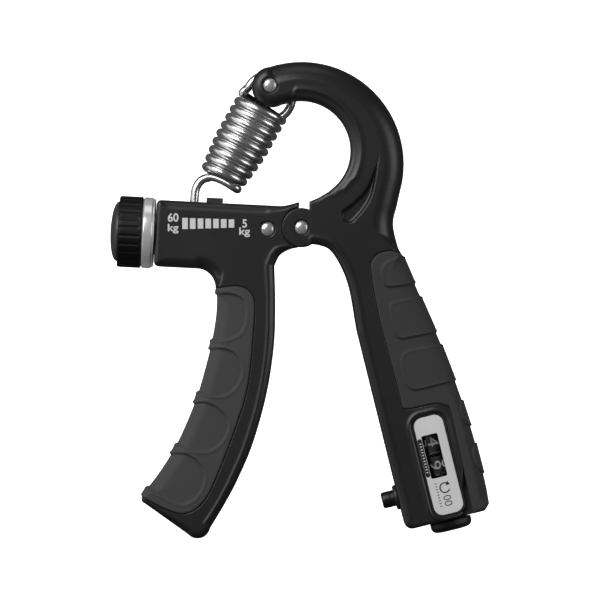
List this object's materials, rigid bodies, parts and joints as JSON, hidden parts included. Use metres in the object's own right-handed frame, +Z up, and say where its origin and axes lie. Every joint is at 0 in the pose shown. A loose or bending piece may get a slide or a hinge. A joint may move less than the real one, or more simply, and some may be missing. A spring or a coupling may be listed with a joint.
{
  "type": "adjustable hand grip strengthener",
  "caption": "R-shaped hand gripper with an extension spring, a screw-set tension slider, soft grips and a press-driven squeeze counter.",
  "frame": {"origin": "middle of the bounding box's base, level with the ends of the two handles; the main hinge stands 99.8 mm above it", "axes": "+Z up along the open handles towards the hook, +Y away from the front face that carries the scale and the counter window, +X from the tension knob towards the palm handle"},
  "size_m": [0.1216, 0.023, 0.1533],
  "materials": {
    "body_plastic": "fine moulded texture, black glass-filled nylon",
    "grip_rubber": "soft matte overmould, dark charcoal",
    "rivet_steel": "polished rivet head",
    "bush_brass": "plain turned",
    "spring_steel": "bright nickel-plated spring wire",
    "knob_plastic": "black, moulded ribs",
    "cap_plastic": "dark grey satin dome",
    "ring_chrome": "polished plating",
    "steel_plain": "plain machined",
    "slider_plastic": "dark grey",
    "housing_plastic": "black, smooth",
    "label_silver": "fine satin silver",
    "lens_clear": "clear",
    "wheel_plastic": "black number wheel, white digits",
    "reset_plastic": "black, smooth"
  },
  "bodies": {
    "palm_arm": {"hook_arm": "body_plastic", "palm_grip": "grip_rubber", "pivot_rivet": "rivet_steel", "upper_spring_rivet": "rivet_steel", "counter_housing": "housing_plastic", "counter_back_cover": "housing_plastic", "counter_faceplate": "label_silver", "counter_lens": "lens_clear", "carry_axle": "steel_plain", "plunger_collar": "housing_plastic", "housing_screw": "steel_plain", "plunger_spring": "spring_steel"},
    "finger_lever": {"finger_arm": "body_plastic", "finger_grip": "grip_rubber", "pivot_bush": "bush_brass", "screw_retaining_rivet": "rivet_steel"},
    "knob": {"tension_knob": "knob_plastic", "knob_cap": "cap_plastic", "chrome_ring": "ring_chrome", "adjusting_screw": "steel_plain", "thrust_washer": "steel_plain"},
    "slider": {"slider_nut": "slider_plastic", "lower_spring_pin": "steel_plain"},
    "spring": {"main_spring": "spring_steel"},
    "counter_plunger": {"plunger": "housing_plastic", "pawl": "steel_plain"},
    "units": {"units_wheel": "wheel_plastic", "ratchet_wheel": "wheel_plastic"},
    "tens": {"tens_wheel": "wheel_plastic"},
    "carry": {"carry_pinion": "wheel_plastic"},
    "reset": {"reset_knob": "reset_plastic", "counter_axle": "steel_plain"}
  },
  "joints": [
    {"name": "handle_squeeze", "type": "hinge", "parent": "palm_arm", "child": "finger_lever", "pos_m": [0.00069, 0, 0.09976], "axis": [0, -1, 0], "range_deg": [0, 31], "stiffness_Nm_per_rad": 3, "springref_deg": -28.65, "deforming": ["main_spring"]},
    {"name": "knob_turn", "type": "hinge", "parent": "finger_lever", "child": "knob", "pos_m": [-0.04621, 0, 0.09801], "axis": [0.9987, 0, -0.0506], "range_deg": [-2835, 3915]},
    {"name": "slider_travel", "type": "slide", "parent": "finger_lever", "child": "slider", "axis": [0.9987, 0, -0.0506], "range_m": [-0.0087, 0.0063], "deforming": ["main_spring"]},
    {"name": "spring_swing", "type": "hinge", "parent": "palm_arm", "child": "spring", "pos_m": [-0.00941, 0, 0.14536], "axis": [0, -1, 0], "range_deg": [0, 8.7]},
    {"name": "plunger_press", "type": "slide", "parent": "palm_arm", "child": "counter_plunger", "axis": [0.9707, 0, 0.2402], "range_m": [0, 0.003], "stiffness_N_per_m": 200, "springref_m": -0.003, "deforming": ["plunger_spring"]},
    {"name": "units_wheel_turn", "type": "hinge", "parent": "palm_arm", "child": "units", "pos_m": [0.04428, 0, 0.02309], "axis": [0.2402, 0, -0.9707], "continuous": true},
    {"name": "tens_wheel_turn", "type": "hinge", "parent": "palm_arm", "child": "tens", "pos_m": [0.04258, 0, 0.02998], "axis": [0.2402, 0, -0.9707], "continuous": true},
    {"name": "carry_pinion_turn", "type": "hinge", "parent": "palm_arm", "child": "carry", "pos_m": [0.04879, 0.0056, 0.02822], "axis": [0.2402, 0, -0.9707], "continuous": true},
    {"name": "reset_knob_turn", "type": "hinge", "parent": "palm_arm", "child": "reset", "pos_m": [0.04887, 0, 0.00455], "axis": [0.2402, 0, -0.9707], "continuous": true}
  ],
  "couplings": [
    {"joint": "slider_travel", "follows": "knob_turn", "m_per_rad": -0.00012732},
    {"joint": "spring_swing", "follows": "handle_squeeze", "ratio": 0.26452},
    {"joint": "tens_wheel_turn", "follows": "units_wheel_turn", "ratio": 0.1},
    {"joint": "carry_pinion_turn", "follows": "units_wheel_turn", "ratio": -0.3333}
  ]
}
